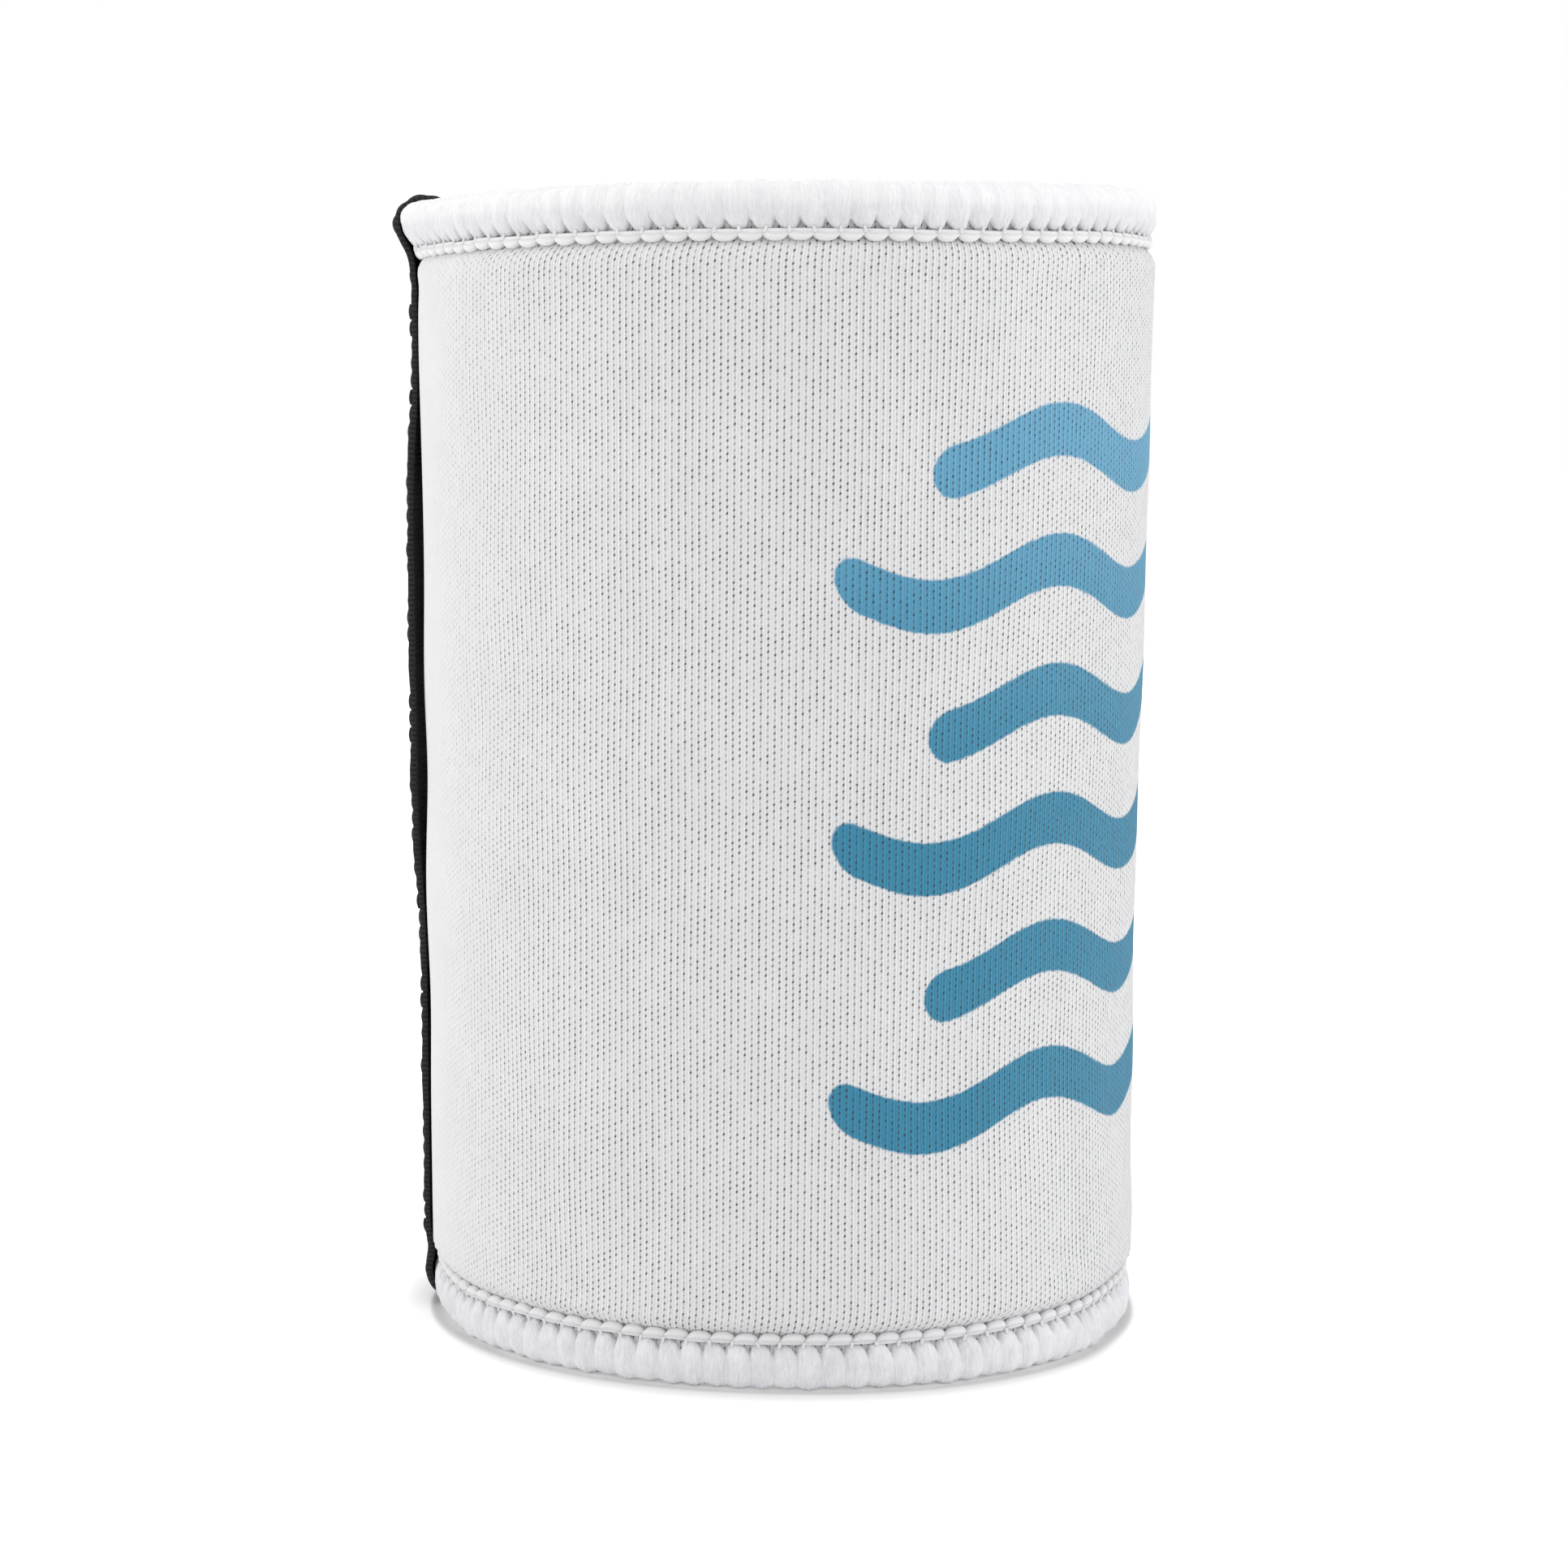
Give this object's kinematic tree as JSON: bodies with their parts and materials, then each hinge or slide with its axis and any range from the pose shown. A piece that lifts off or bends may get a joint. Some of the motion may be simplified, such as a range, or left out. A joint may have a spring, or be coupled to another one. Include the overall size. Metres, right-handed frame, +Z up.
{
  "type": "can cooler sleeve",
  "caption": "Insulating foam sleeve for a drinks can, with overlocked hems at rim and foot, a taped side seam and a flat glued base.",
  "frame": {"origin": "middle of the footprint, on the surface that the sleeve stands on; the tube's axis is 1.6 mm in front of it", "axes": "+Z up through the open top; the printed front faces -Y and the taped seam is at +Y"},
  "size_m": [0.0792, 0.0819, 0.1215],
  "materials": {
    "jersey_foam": "matte knitted face on black foam",
    "woolly_thread": "matte fluffy thread",
    "loop_thread": "soft sheen",
    "black_tape": "matte woven",
    "black_foam": "matte cloth-faced foam"
  },
  "bodies": {
    "root": {"wall": "jersey_foam", "base_disc": "black_foam", "top_hem_wraps": "woolly_thread", "bottom_hem_wraps": "woolly_thread", "top_hem_chain": "loop_thread", "bottom_hem_chain": "loop_thread", "seam_tape": "black_tape"}
  },
  "joints": []
}
